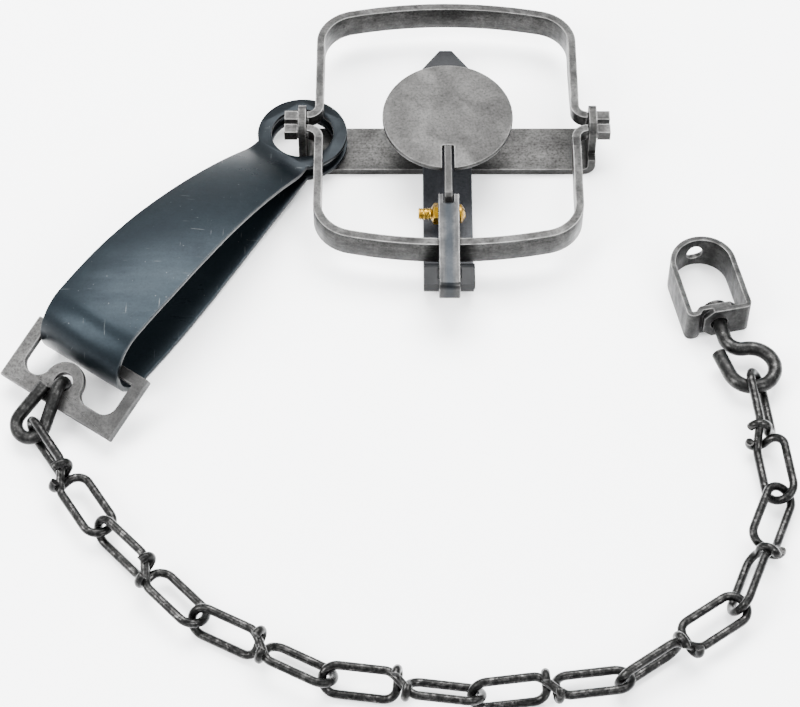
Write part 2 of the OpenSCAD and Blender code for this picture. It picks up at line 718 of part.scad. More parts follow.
// Plan of the swivel strap, drawn in by inset: a flat end and a round arch
module strap_plan(inset, end) {
    half = box_w / 2 - inset;
    arch_u = -(box_l - box_w / 2);
    translate([arch_u, -half]) square([-arch_u - end, 2 * half]);
    translate([arch_u, 0]) circle(half, $fn = 96);
}

module swivel_box() {
    corner = 2.5;
    color(pale_steel) swivel_frame() difference() {
        linear_extrude(strap_w, center = true) difference() {
            union() {
                strap_plan(0, corner);
                translate([-2 * corner, -box_w / 2 + corner]) square([2 * corner, box_w - 2 * corner]);
                for (side = [-1, 1]) translate([-corner, side * (box_w / 2 - corner)]) circle(corner);
            }
            strap_plan(strap_t, 2 * strap_t);
        }
        rotate([0, -90, 0]) translate([0, 0, -1]) cylinder(r = swivel_d / 2 + run_fit, h = 2 * strap_t + 2);
        translate([-box_l - 1, 0, 0]) rotate([0, 90, 0]) cylinder(d = fix_hole_d, h = strap_t + 4);
    }
}

base_bar();
cross_bar();
cross_rivet();
pan_bracket();
bracket_rivet();
pan_bolt();
pan_nut();
pan_lever();
pan();
front_jaw();
back_jaw();
dog();
spring_lower_arm();
spring_bend();
spring_upper_arm();
spring_plate();
s_hook();
for (i = [1 : LINKS])
    chain_link(i - 1);
swivel_hook();
swivel_box();
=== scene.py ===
# %% [markdown]
# A long-spring foothold trap, lying set on a pale floor with its chain laid round the front.
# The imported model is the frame: each solid already has its place, its body and its joints. This
# lesson dresses that frame. Flat forged pieces keep their solids and get worn steel finishes. The
# spring, the swivel box and everything of bent wire are remade, so that each flows in one sweep.
# Blender counts in metres and a workshop in millimetres, so MM turns one into the other.

import json
import math

import bmesh
import bpy
from mathutils import Matrix, Vector


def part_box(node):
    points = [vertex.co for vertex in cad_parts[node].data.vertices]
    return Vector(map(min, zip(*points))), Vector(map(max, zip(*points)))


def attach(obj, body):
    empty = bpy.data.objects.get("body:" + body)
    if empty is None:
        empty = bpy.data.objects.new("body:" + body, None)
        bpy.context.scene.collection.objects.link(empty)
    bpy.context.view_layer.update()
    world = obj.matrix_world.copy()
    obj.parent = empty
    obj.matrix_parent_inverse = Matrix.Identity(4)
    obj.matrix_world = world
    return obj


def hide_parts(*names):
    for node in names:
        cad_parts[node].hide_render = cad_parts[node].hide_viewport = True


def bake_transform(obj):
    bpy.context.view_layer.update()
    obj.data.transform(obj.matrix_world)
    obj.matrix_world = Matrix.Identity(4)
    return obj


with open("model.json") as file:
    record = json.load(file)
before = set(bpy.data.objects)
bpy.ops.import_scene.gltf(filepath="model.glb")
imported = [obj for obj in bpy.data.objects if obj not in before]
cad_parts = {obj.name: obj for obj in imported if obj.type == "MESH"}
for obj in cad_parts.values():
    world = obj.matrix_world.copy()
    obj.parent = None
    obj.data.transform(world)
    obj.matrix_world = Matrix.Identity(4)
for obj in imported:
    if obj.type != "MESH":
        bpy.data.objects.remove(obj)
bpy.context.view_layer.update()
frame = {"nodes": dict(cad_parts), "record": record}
nodes = frame["nodes"]
MM = 0.001
print("solids in the frame:", len(nodes))


# %% [markdown]
# The joints say where the pieces hang on each other, so they are the best measuring points.
# A chain link reaches from its own joint to the next one, and nothing has to be fitted by eye.

# %% Measure from the joints
JOINTS = {joint["name"]: joint for joint in frame["record"]["behaviour"]["joints"]}


def joint_at(name):
    return Vector(JOINTS[name]["pos_m"])


def joint_axis(name):
    return Vector(JOINTS[name]["axis"]).normalized()


print("joints:", len(JOINTS))

# %% [markdown]
# The camera looks down on the trap at about fifty-four degrees, from far away with a long lens,
# so that the jaws keep their shape and hardly taper towards the back.

# %% Camera
VIEW_FROM = Vector((-18.6, -674.1, 792.3)) * MM
VIEW_TO = Vector((-18.6, -98.5, 0.0)) * MM
LENS = 117.0
SENSOR_WIDTH = 36.0
NEAREST = 0.05


def add_object(name, data):
    thing = bpy.data.objects.new(name, data)
    bpy.context.scene.collection.objects.link(thing)
    return thing


def aimed(place, aim):
    """The turn that points a camera or a lamp from its place to its aim."""
    return (Vector(aim) - Vector(place)).to_track_quat("-Z", "Y").to_euler()


camera_data = bpy.data.cameras.new("camera")
camera_data.lens = LENS
camera_data.sensor_width = SENSOR_WIDTH
camera_data.clip_start = NEAREST
camera = add_object("camera", camera_data)
camera.location = VIEW_FROM
camera.rotation_euler = aimed(VIEW_FROM, VIEW_TO)
bpy.context.scene.camera = camera
print("camera distance, mm:", round((VIEW_TO - VIEW_FROM).length / MM))

# %% [markdown]
# Steel shows what stands around it. A pale world fills the shadows, a broad lamp behind the trap
# gives the long soft glints on the flat faces, and two weaker ones in front keep the edges crisp.

# %% Light and floor
HORIZON_LEVEL = 0.05
ZENITH_LEVEL = 0.75
FLOOR_HALF = 3.0
FLOOR_Z = -0.2 * MM
SQUARE = [(-1, -1), (1, -1), (1, 1), (-1, 1)]


def area_lamp(name, place, aim, size, watts):
    data = bpy.data.lights.new(name, "AREA")
    data.shape = "RECTANGLE"
    data.size = size[0]
    data.size_y = size[1]
    data.energy = watts
    lamp = add_object(name, data)
    lamp.location = place
    lamp.rotation_euler = aimed(place, aim)


def studio_world(horizon, zenith, strength):
    """A room that is dim at the horizon and bright overhead, so that steel shows light and dark."""
    world = bpy.data.worlds.new("studio")
    world.use_nodes = True
    tree = world.node_tree
    room = tree.nodes.new("ShaderNodeTexCoord")
    split = tree.nodes.new("ShaderNodeSeparateXYZ")
    ramp = tree.nodes.new("ShaderNodeValToRGB")
    ramp.color_ramp.elements[0].position = HORIZON_LEVEL
    ramp.color_ramp.elements[0].color = (*horizon, 1.0)
    ramp.color_ramp.elements[1].position = ZENITH_LEVEL
    ramp.color_ramp.elements[1].color = (*zenith, 1.0)
    tree.links.new(room.outputs["Generated"], split.inputs["Vector"])
    tree.links.new(split.outputs["Z"], ramp.inputs["Fac"])
    background = tree.nodes["Background"]
    tree.links.new(ramp.outputs["Color"], background.inputs["Color"])
    background.inputs["Strength"].default_value = strength
    return world


bpy.context.scene.world = studio_world(horizon=(0.22, 0.23, 0.24), zenith=(0.96, 0.98, 1.0), strength=3.4)
area_lamp("overhead", place=(0.0, 0.55, 1.25), aim=(0.0, -0.08, 0.0), size=(1.2, 0.9), watts=80.0)
area_lamp("left_side", place=(-1.1, -0.5, 0.9), aim=(-0.05, -0.1, 0.0), size=(0.6, 0.9), watts=44.0)
area_lamp("right_front", place=(0.9, -0.9, 1.1), aim=(0.0, -0.1, 0.0), size=(0.7, 0.7), watts=26.0)

floor_mesh = bpy.data.meshes.new("floor")
floor_corners = [(x * FLOOR_HALF, y * FLOOR_HALF, FLOOR_Z) for x, y in SQUARE]
floor_mesh.from_pydata(floor_corners, [], [(0, 1, 2, 3)])
floor = add_object("floor", floor_mesh)

# %% [markdown]
# A finish is a tree of nodes, and most trees here use the same few. This class gives each of them a
# short word. A level brings a value from its start to its end while another value crosses a band, and
# an overlay lays one more tone over the colours so far. Every pattern is read in object coordinates.

# %% Short words for a finish
STILL = (0.0, 0.0, 0.0)
EDGE_SAMPLES = 6
RUBBED_BAND = (0.995, 0.86)


def even(size):
    """The same size along three axes, or the same grey in three colours."""
    return (size, size, size)


class Finish:
    """A material under construction."""

    def __init__(self, name):
        self.material = bpy.data.materials.new(name)
        self.material.use_nodes = True
        self.tree = self.material.node_tree
        self.shader = self.tree.nodes["Principled BSDF"]
        self.coords = self.tree.nodes.new("ShaderNodeTexCoord")

    def link(self, source, target):
        self.tree.links.new(source, target)

    def fix(self, name, value):
        """Give a socket of the shader one value all over the surface."""
        self.shader.inputs[name].default_value = value

    def mapped(self, scale, turn=STILL, shift=STILL):
        mapping = self.tree.nodes.new("ShaderNodeMapping")
        mapping.inputs["Scale"].default_value = scale
        mapping.inputs["Rotation"].default_value = turn
        mapping.inputs["Location"].default_value = shift
        self.link(self.coords.outputs["Object"], mapping.inputs["Vector"])
        return mapping.outputs["Vector"]

    def noise(self, scale, detail=4.0, rough=0.55, turn=STILL, distort=0.0):
        noise = self.tree.nodes.new("ShaderNodeTexNoise")
        noise.inputs["Scale"].default_value = 1.0
        noise.inputs["Detail"].default_value = detail
        noise.inputs["Roughness"].default_value = rough
        noise.inputs["Distortion"].default_value = distort
        self.link(self.mapped(scale, turn), noise.inputs["Vector"])
        return noise.outputs["Fac"]

    def ramp(self, source, stops):
        ramp = self.tree.nodes.new("ShaderNodeValToRGB")
        points = ramp.color_ramp.elements
        while len(points) < len(stops):
            points.new(0.5)
        for point, (place, colour) in zip(points, stops):
            point.position = place
            point.color = (*colour, 1.0)
        self.link(source, ramp.inputs["Fac"])
        return ramp.outputs["Color"]

    def level(self, source, band, start=0.0, end=1.0):
        level = self.tree.nodes.new("ShaderNodeMapRange")
        level.inputs["From Min"].default_value = band[0]
        level.inputs["From Max"].default_value = band[1]
        level.inputs["To Min"].default_value = start
        level.inputs["To Max"].default_value = end
        self.link(source, level.inputs["Value"])
        return level.outputs["Result"]

    def math(self, kind, first, second):
        node = self.tree.nodes.new("ShaderNodeMath")
        node.operation = kind
        for socket, value in zip(node.inputs, (first, second)):
            if isinstance(value, (int, float)):
                socket.default_value = value
            else:
                self.link(value, socket)
        return node.outputs["Value"]

    def mix(self, factor, first, second, kind="MIX"):
        node = self.tree.nodes.new("ShaderNodeMix")
        node.data_type = "RGBA"
        node.blend_type = kind
        sockets = {"Factor": factor, "A": first, "B": second}
        for socket in node.inputs:
            if socket.name not in sockets or not socket.enabled:
                continue
            value = sockets[socket.name]
            if isinstance(value, (int, float)):
                socket.default_value = value
            elif isinstance(value, tuple):
                socket.default_value = (*value, 1.0)
            else:
                self.link(value, socket)
        return next(s for s in node.outputs if s.enabled)

    def part(self, vector, axis):
        split = self.tree.nodes.new("ShaderNodeSeparateXYZ")
        self.link(vector, split.inputs["Vector"])
        return split.outputs[axis]

    def place(self, axis):
        """How far along an axis a point lies, in metres."""
        return self.part(self.coords.outputs["Object"], axis)

    def facing_up(self):
        return self.part(self.coords.outputs["Normal"], "Z")

    def reach(self, centre):
        """How far a point lies from an upright line through a centre, in metres."""
        measure = self.tree.nodes.new("ShaderNodeVectorMath")
        measure.operation = "LENGTH"
        self.link(self.mapped((1.0, 1.0, 0.0), shift=(-centre.x, -centre.y, 0.0)), measure.inputs[0])
        return measure.outputs["Value"]

    def edges(self, radius):
        bevel = self.tree.nodes.new("ShaderNodeBevel")
        bevel.samples = EDGE_SAMPLES
        bevel.inputs["Radius"].default_value = radius
        plain = self.tree.nodes.new("ShaderNodeNewGeometry")
        dot = self.tree.nodes.new("ShaderNodeVectorMath")
        dot.operation = "DOT_PRODUCT"
        self.link(bevel.outputs["Normal"], dot.inputs[0])
        self.link(plain.outputs["Normal"], dot.inputs[1])
        return self.level(dot.outputs["Value"], RUBBED_BAND)

    def bump(self, height, strength, distance):
        bump = self.tree.nodes.new("ShaderNodeBump")
        bump.inputs["Strength"].default_value = strength
        bump.inputs["Distance"].default_value = distance
        self.link(height, bump.inputs["Height"])
        self.link(bump.outputs["Normal"], self.shader.inputs["Normal"])

    def coat(self, colour):
        self.colour = colour
        self.link(colour, self.shader.inputs["Base Color"])

    def overlay(self, amount, tone):
        self.coat(self.mix(amount, self.colour, tone))


# %% [markdown]
# Every metal here has been handled. One helper lays the same four layers each time: a cloudy tone,
# fine streaks along the rolling direction, small dark pits, and bright metal where an edge has
# rubbed. What differs is the colours and how strong each layer is.

# %% A helper for worn steel
GRIT = 1100.0
PATCHES = 260.0
EDGE_RUB = 0.9 * MM
BUMP_HEIGHT = 0.1 * MM
LIGHT_STREAKS = (0.42, 0.68)
DARK_STREAKS = (0.48, 0.30)
SPECKLE_LOW = 0.32
SPECKLE_HIGH = 0.68
PIT_BAND = (0.40, 0.28)
PIT_DARK = 0.3
UPWARD_BAND = (-0.35, 0.75)
SHADE_DARK = 0.5
PATCH_BAND = (0.35, 0.6)
LEAST_RUB = 0.35
ROUGH_BAND = (0.7, 1.3)
GRIT_HEIGHT = 0.6


def worn_steel(name, tones, edge_tone, rough, metal, cloud=120.0, spread=0.22, streak=None, grain=0.35,
               pits=0.35, edge_amount=0.8, painted_shade=0.0, bump=0.15, specular=0.25):
    """Handled steel from tones dark to light; streak = (scale, turn, strength), rough = (least, most)."""
    finish = Finish(name)
    dark, middle, light = tones
    clouds = finish.noise(even(cloud), detail=6.0, rough=0.62, distort=0.3)
    finish.coat(finish.ramp(clouds, [(0.5 - spread, dark), (0.5, middle), (0.5 + spread, light)]))
    lines = clouds
    if streak:
        scale, turn, strength = streak
        lines = finish.noise(scale, detail=5.0, rough=0.7, turn=turn)
        finish.overlay(finish.level(lines, LIGHT_STREAKS, end=strength), light)
        finish.overlay(finish.level(lines, DARK_STREAKS, end=strength), dark)
    grit = finish.noise(even(GRIT), detail=3.0, rough=0.65)
    speckle = finish.ramp(grit, [(SPECKLE_LOW, even(1.0 - grain)), (SPECKLE_HIGH, even(1.0 + grain))])
    finish.coat(finish.mix(1.0, finish.colour, speckle, "MULTIPLY"))
    finish.overlay(finish.level(grit, PIT_BAND, end=pits), tuple(PIT_DARK * c for c in dark))
    # Painted shade: faces that turn downwards are darkened, as if shade fell on them.
    if painted_shade:
        painted_underside = finish.level(finish.facing_up(), UPWARD_BAND, start=painted_shade, end=0.0)
        finish.overlay(painted_underside, tuple(SHADE_DARK * c for c in dark))
    patchy = finish.level(finish.noise(even(PATCHES)), PATCH_BAND, start=LEAST_RUB)
    rubbed = finish.math("MULTIPLY", finish.edges(EDGE_RUB), patchy)
    finish.overlay(finish.math("MULTIPLY", rubbed, edge_amount), edge_tone)
    roughness = finish.level(finish.math("ADD", clouds, lines), ROUGH_BAND, start=rough[1], end=rough[0])
    finish.link(roughness, finish.shader.inputs["Roughness"])
    finish.fix("Metallic", metal)
    finish.fix("Specular IOR Level", specular)
    finish.bump(finish.math("ADD", finish.math("MULTIPLY", grit, GRIT_HEIGHT), lines), bump, BUMP_HEIGHT)
    return finish


# %% [markdown]
# The base, the jaws and the pan are raw mill steel: a warm mid grey, speckled and a little oily, with
# pale rubbed edges. On the bars the streaks run lengthwise. The round pan shows an even fine grain.

# %% Raw steel
RAW_EDGE = (0.15, 0.148, 0.145)
BAR_TONES = [(0.0110, 0.0108, 0.0104), (0.0190, 0.0187, 0.0180), (0.031, 0.0305, 0.0295)]
JAW_TONES = [(0.0081, 0.0080, 0.0078), (0.0179, 0.0176, 0.0172), (0.0357, 0.0352, 0.0344)]
PAN_TONES = [(0.0200, 0.0196, 0.0190), (0.0270, 0.0264, 0.0256), (0.036, 0.0352, 0.0343)]
raw_bar = worn_steel("raw_bar_steel", BAR_TONES, RAW_EDGE, rough=(0.36, 0.58), metal=0.85, cloud=90.0,
                     streak=((60.0, 1300.0, 700.0), STILL, 0.35), grain=0.45, pits=0.5, bump=0.25)
raw_jaw = worn_steel("raw_jaw_steel", JAW_TONES, RAW_EDGE, rough=(0.32, 0.52), metal=0.88, cloud=170.0,
                     streak=((140.0, 140.0, 900.0), STILL, 0.45), grain=0.4, pits=0.4, edge_amount=0.95,
                     bump=0.2)
pan_steel = worn_steel("raw_pan_steel", PAN_TONES, RAW_EDGE, rough=(0.40, 0.60), metal=0.8, cloud=70.0,
                       grain=0.3, pits=0.35, edge_amount=0.95, bump=0.25)
print("raw finishes:", [finish.material.name for finish in (raw_bar, raw_jaw, pan_steel)])

# %% [markdown]
# The spring and the cross bar are blued: a dark slate skin from heat and oil, smooth enough to hold a
# soft reflection. The streaks on the spring are turned to run with its blade.

# %% Blued steel
BLUE_TONES = [(0.0037, 0.0057, 0.0076), (0.0057, 0.0086, 0.0109), (0.0091, 0.0128, 0.0156)]
BLUE_EDGE = (0.050, 0.056, 0.060)
CROSS_TONES = [(0.0105, 0.0112, 0.0128), (0.0153, 0.0162, 0.0186), (0.0233, 0.0245, 0.0274)]
BLADE_TURN = (0.0, 0.0, 0.92)
blued = worn_steel("blued_bar_steel", CROSS_TONES, BLUE_EDGE, rough=(0.42, 0.62), metal=0.2, cloud=40.0,
                   grain=0.25, pits=0.3, bump=0.08, specular=0.14)
# The spring's downward faces, inside its fold and along its bottom edge, get painted shade.
spring_skin = worn_steel("blued_spring", BLUE_TONES, BLUE_EDGE, rough=(0.24, 0.40), metal=0.6, cloud=26.0,
                         spread=0.2, streak=((22.0, 160.0, 22.0), BLADE_TURN, 0.3), grain=0.12, pits=0.15,
                         edge_amount=0.7, painted_shade=0.75, bump=0.04, specular=0.09)
print("blued finishes:", [finish.material.name for finish in (blued, spring_skin)])

# %% [markdown]
# The cross bar carries painted light: its middle, in the pan's shade, keeps a lighter tone, and its two lit
# ends are painted dark. Heat has left the spring darkest round its eyes. Both fade over a distance measured
# from the pieces themselves. Handling leaves fine pale scratches and specks on the blade: they show wherever
# a stretched noise is at its highest.

# %% Painted light on the cross bar, heat and scratches
DARKENING_TONE = (0.0012, 0.0014, 0.0017)
END_DARKENING_START = 20.0 * MM
FRONT_FULL = 14.0 * MM
LIT_FRONT_DARKENING = 0.92
BACK_FULL = 12.0 * MM
LIT_BACK_DARKENING = 0.65
HEAT_BAND = (34.0 * MM, 17.0 * MM)
HEAT_DARK = 0.6
SCRATCH_TONE = (0.055, 0.060, 0.062)
SCRATCH_SOFT = 0.05
SCRATCH_SHOWN = 0.75
SCRATCHES = [((70.0, 1400.0, 70.0), (0.0, 0.0, 0.35), 0.715),
             ((1500.0, 90.0, 90.0), (0.0, 0.0, 0.5), 0.725),
             (even(800.0), STILL, 0.735)]

bar_low, bar_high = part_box("cross_bar")
bar_front, bar_back = bar_low[1], bar_high[1]
bar_y = blued.place("Y")
# Painted light: the middle, which the pan shades, keeps the lighter tone, and the lit ends are painted dark.
lit_front_dark = blued.level(bar_y, (bar_front + END_DARKENING_START, bar_front + FRONT_FULL), end=LIT_FRONT_DARKENING)
lit_back_dark = blued.level(bar_y, (bar_back - END_DARKENING_START, bar_back - BACK_FULL), end=LIT_BACK_DARKENING)
blued.overlay(blued.math("MAXIMUM", lit_front_dark, lit_back_dark), DARKENING_TONE)

eye_place = joint_at("spring_swing")
heat = spring_skin.level(spring_skin.reach(eye_place), HEAT_BAND, end=HEAT_DARK)
spring_skin.overlay(heat, DARKENING_TONE)
for scale, turn, limit in SCRATCHES:
    marks = spring_skin.noise(scale, detail=2.0, rough=0.5, turn=turn)
    shown = spring_skin.level(marks, (limit, limit + SCRATCH_SOFT), end=SCRATCH_SHOWN)
    spring_skin.overlay(shown, SCRATCH_TONE)
print("kinds of scratches:", len(SCRATCHES))

# %% [markdown]
# The dog is a brushed strip with painted shade and reflection as a bluish dark band down its middle.
# The spring plate is stamped sheet with shining sheared edges and painted shade towards the right.
# The swivel box is zinc grey with dark specks.

# %% Pale steel and zinc
PALE_EDGE = (0.24, 0.237, 0.232)
DOG_TONES = [(0.0077, 0.0081, 0.0086), (0.0140, 0.0141, 0.0143), (0.0265, 0.0262, 0.0258)]
DOG_PAINTED_DARK_TONE = (0.0075, 0.0092, 0.0112)
DOG_PAINTED_DARK_SPAN = (2.6 * MM, 0.8 * MM)
DOG_PAINTED_DARK_SHOWN = 0.8
dog_steel = worn_steel("brushed_dog_steel", DOG_TONES, PALE_EDGE, rough=(0.26, 0.42), metal=0.9, cloud=130.0,
                       streak=((1100.0, 40.0, 200.0), STILL, 0.5), grain=0.25, edge_amount=0.95)
# Painted shade and reflection: a bluish dark band along the middle of the dog.
from_middle = dog_steel.math("ABSOLUTE", dog_steel.place("X"), 0.0)
dog_steel.overlay(dog_steel.level(from_middle, DOG_PAINTED_DARK_SPAN, end=DOG_PAINTED_DARK_SHOWN), DOG_PAINTED_DARK_TONE)

PLATE_TONES = [(0.0197, 0.0191, 0.0185), (0.0361, 0.0353, 0.0343), (0.0640, 0.0627, 0.0611)]
PLATE_SHADE = (0.0120, 0.0120, 0.0122)
PLATE_CLEAR = 16.0 * MM
PLATE_FULL = 12.0 * MM
PLATE_PAINTED_SHADE = 0.62
plate_steel = worn_steel("stamped_plate_steel", PLATE_TONES, PALE_EDGE, rough=(0.36, 0.6), metal=0.75,
                         cloud=95.0, streak=((80.0, 300.0, 80.0), BLADE_TURN, 0.3), grain=0.4, pits=0.55,
                         edge_amount=0.95, bump=0.3)
plate_low, plate_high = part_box("spring_plate")
# Painted shade: the plate grows darker towards the right, as the light falls off across it.
painted_shade_band = (plate_low[0] + PLATE_CLEAR, plate_high[0] - PLATE_FULL)
plate_steel.overlay(plate_steel.level(plate_steel.place("X"), painted_shade_band, end=PLATE_PAINTED_SHADE), PLATE_SHADE)

ZINC_TONES = [(0.0055, 0.0055, 0.0054), (0.0128, 0.0127, 0.0125), (0.0245, 0.0242, 0.0237)]
zinc = worn_steel("zinc_grey", ZINC_TONES, RAW_EDGE, rough=(0.38, 0.62), metal=0.75, cloud=260.0,
                  streak=((400.0, 400.0, 60.0), STILL, 0.3), grain=0.45, pits=0.6, edge_amount=0.9, bump=0.3)
print("pale finishes:", [finish.material.name for finish in (dog_steel, plate_steel, zinc)])

# %% [markdown]
# The chain and the hooks are dark wire. Where links rub on each other and on hands the dark skin is worn off
# in patches, and painted shade keeps the faces that turn downwards black. Bolt and nut are yellow brass.

# %% Dark wire and brass
WIRE_EDGE = (0.09, 0.088, 0.086)
WIRE_TONES = [(0.0019, 0.0019, 0.0019), (0.0085, 0.0084, 0.0082), (0.0361, 0.0355, 0.0345)]
wire_steel = worn_steel("dark_chain_wire", WIRE_TONES, WIRE_EDGE, rough=(0.20, 0.42), metal=0.88, cloud=460.0,
                        spread=0.18, grain=0.7, pits=0.5, painted_shade=0.8, bump=0.4)
hook_steel = worn_steel("dark_hook_wire", WIRE_TONES, WIRE_EDGE, rough=(0.27, 0.48), metal=0.85, cloud=320.0,
                        spread=0.24, grain=0.45, pits=0.5, painted_shade=0.75, bump=0.3)
BRASS_EDGE = (0.48, 0.33, 0.06)
BRASS_TONES = [(0.11, 0.050, 0.001), (0.19, 0.098, 0.003), (0.30, 0.175, 0.010)]
brass = worn_steel("yellow_brass", BRASS_TONES, BRASS_EDGE, rough=(0.22, 0.38), metal=0.95, cloud=400.0,
                   grain=0.25, pits=0.3)
print("wire and brass finishes:", [finish.material.name for finish in (wire_steel, hook_steel, brass)])

# %% [markdown]
# The floor is a plain pale sheet. A trace of tone in it keeps it from looking like bare paint. The
# solids that stay in sight get their coats here, and the pieces that are remade get theirs later.

# %% Floor finish and coats
FLOOR_CLOUD = 6.0
FLOOR_TONES = [(0.3, even(0.93)), (0.7, even(0.96))]
FLOOR_GLOW = 0.16
pale = Finish("pale_floor")
pale.coat(pale.ramp(pale.noise(even(FLOOR_CLOUD)), FLOOR_TONES))
pale.fix("Roughness", 0.9)
pale.fix("Specular IOR Level", 0.1)
pale.fix("Emission Color", (1.0, 1.0, 1.0, 1.0))
pale.fix("Emission Strength", FLOOR_GLOW)
floor.data.materials.append(pale.material)

COATS = {
    raw_bar: ["base_bar"],
    raw_jaw: ["front_jaw", "back_jaw"],
    pan_steel: ["pan", "pan_lever"],
    blued: ["cross_bar", "cross_rivet", "pan_bracket", "bracket_rivet"],
    dog_steel: ["dog"],
    plate_steel: ["spring_plate"],
    brass: ["pan_bolt", "pan_nut"],
}
for finish, names in COATS.items():
    for name in names:
        materials = nodes[name].data.materials
        materials.clear()
        materials.append(finish.material)
print("solids with a coat:", sum(len(names) for names in COATS.values()))

# %% [markdown]
# Forged and sheared steel never has a knife edge. A weld joins the solids' loose triangles, and a
# narrow bevel breaks every hard corner, so that edges catch a line of light as real ones do.

# %% Break the hard edges
EDGE_WIDTHS = {
    "front_jaw": 0.6, "back_jaw": 0.6, "base_bar": 0.4, "cross_bar": 0.3, "cross_rivet": 0.2,
    "pan": 0.35, "pan_lever": 0.3, "pan_bracket": 0.2, "dog": 0.4, "spring_plate": 0.4,
}
EDGE_ANGLE = 40.0
EDGE_SEGMENTS = 2
WELD_REACH = 0.01 * MM


def break_edges(piece, width, angle):
    """Bevel every corner sharper than an angle in degrees, with a width in millimetres."""
    bevel = piece.modifiers.new("broken_edges", "BEVEL")
    bevel.width = width * MM
    bevel.segments = EDGE_SEGMENTS
    bevel.limit_method = "ANGLE"
    bevel.angle_limit = math.radians(angle)
    return bevel


for name, width in EDGE_WIDTHS.items():
    joined = nodes[name].modifiers.new("joined", "WELD")
    joined.merge_threshold = WELD_REACH
    broken = break_edges(nodes[name], width, EDGE_ANGLE)
    broken.harden_normals = True
print("solids with broken edges:", len(EDGE_WIDTHS))

# %% [markdown]
# The spring is one long strip with an eye at each end, folded over on itself. In the solids it is
# three pieces that meet at the fold. Here it is cut out flat, as it was before it was bent, with
# both eyes punched, and then rolled along a path of runs and arcs, so no seam shows at the fold.

# %% The strip's path from eye to eye
SPRING_HEADING = math.radians(-125.2)
SPRING_LENGTH = 123.5
STRIP_THICKNESS = 2.0
FOLD_HEIGHT = 15.3
FOLD_RADIUS = FOLD_HEIGHT - STRIP_THICKNESS / 2
FOLD_STEP = 5.0
BOW_STEP = 1.2
LOWER_EYE_HEIGHT = 4.8
UPPER_EYE_HEIGHT = 10.9
EASE_RADIUS = 18.0
EASE_START = 14.0
EASE_STEP = 4.0
ARM_PITCH = math.radians(25.0)


def straight(length):
    """A run as its length, its turn and the degrees between two cuts across it."""
    return (length, 0.0, 0.0)


def arc(radius, turn, step):
    """A bend, told in the same three numbers."""
    return (radius * abs(turn), turn, step)


def total(runs):
    return sum(length for length, _, _ in runs)


def along(runs, distance, heading):
    """How far a bent line has come after a distance, in its own plane; the end runs may be passed."""
    place = Vector((0.0, 0.0))
    for count, (length, turn, _) in enumerate(runs):
        last = count == len(runs) - 1
        part = distance if last else min(distance, length)
        if turn == 0.0:
            place += part * Vector((math.cos(heading), math.sin(heading)))
        else:
            radius = length / turn
            ahead = heading + turn * part / length
            place += radius * Vector((math.sin(ahead) - math.sin(heading),
                                      math.cos(heading) - math.cos(ahead)))
            heading = ahead
        distance -= part
        if distance <= 0.0 and not last:
            break
    return place


drop = LOWER_EYE_HEIGHT - FOLD_HEIGHT
lower_pitch = math.asin(drop / SPRING_LENGTH) + math.asin(FOLD_RADIUS / SPRING_LENGTH)
lower_run = math.sqrt(SPRING_LENGTH ** 2 + drop ** 2 - FOLD_RADIUS ** 2)
ease_end = Vector((EASE_START + EASE_RADIUS * math.sin(ARM_PITCH),
                   UPPER_EYE_HEIGHT + EASE_RADIUS * (1 - math.cos(ARM_PITCH))))
downward = Vector((math.sin(ARM_PITCH), -math.cos(ARM_PITCH)))
from_fold = ease_end - Vector((SPRING_LENGTH, FOLD_HEIGHT))
bow_radius = (FOLD_RADIUS ** 2 - from_fold.length_squared) / (2 * (from_fold.dot(downward) + FOLD_RADIUS))
bow_centre = ease_end + bow_radius * downward
crown = math.atan((SPRING_LENGTH - bow_centre.x) / (FOLD_HEIGHT - bow_centre.y))
STRIP_RUNS = [
    straight(lower_run),
    arc(FOLD_RADIUS, math.pi + lower_pitch - crown, FOLD_STEP),
    arc(bow_radius, ARM_PITCH + crown, BOW_STEP),
    arc(EASE_RADIUS, -ARM_PITCH, EASE_STEP),
    straight(EASE_START),
]
strip_length = total(STRIP_RUNS)
print("strip from eye to eye, mm:", round(strip_length, 1), "bow radius:", round(bow_radius, 1))

# %% [markdown]
# Bent sheet is made the way a shop makes it. A flat blank is drawn as a closed outline with round
# holes, filled, and cut across wherever it will bend. Rolling then only moves points along the path.

# %% Cut, roll and thicken flat stock
HOLE_STEPS = 64
CUT_DIGITS = 6
CUT_REACH = 1e-4
FLAT_ANGLE = math.radians(1.0)
ROLLED_EDGE = 0.35
ROLLED_EDGE_ANGLE = 50.0
ROLLED_SHARP = 40.0


def shares(steps):
    """Even shares from 0 to 1, both ends included."""
    return [k / steps for k in range(steps + 1)]


def on_circle(radius, angle):
    return radius * math.cos(angle), radius * math.sin(angle)


def ring(centre, radius, start, end, steps):
    """Points from one angle to another, round a centre on the blank's middle line."""
    points = [on_circle(radius, start + (end - start) * share) for share in shares(steps)]
    return [(centre + x, y) for x, y in points]


def hole(centre, radius):
    return ring(centre, radius, 0.0, 2 * math.pi, HOLE_STEPS)[:-1]


def bend_cuts(runs):
    """Distances at which a blank is cut across: every bend, at its own step."""
    cuts = set()
    start = 0.0
    for length, turn, step in runs:
        if turn:
            count = math.ceil(abs(math.degrees(turn)) / step)
            cuts.update(round(start + length * share, CUT_DIGITS) for share in shares(count))
        start += length
    return sorted(cuts)


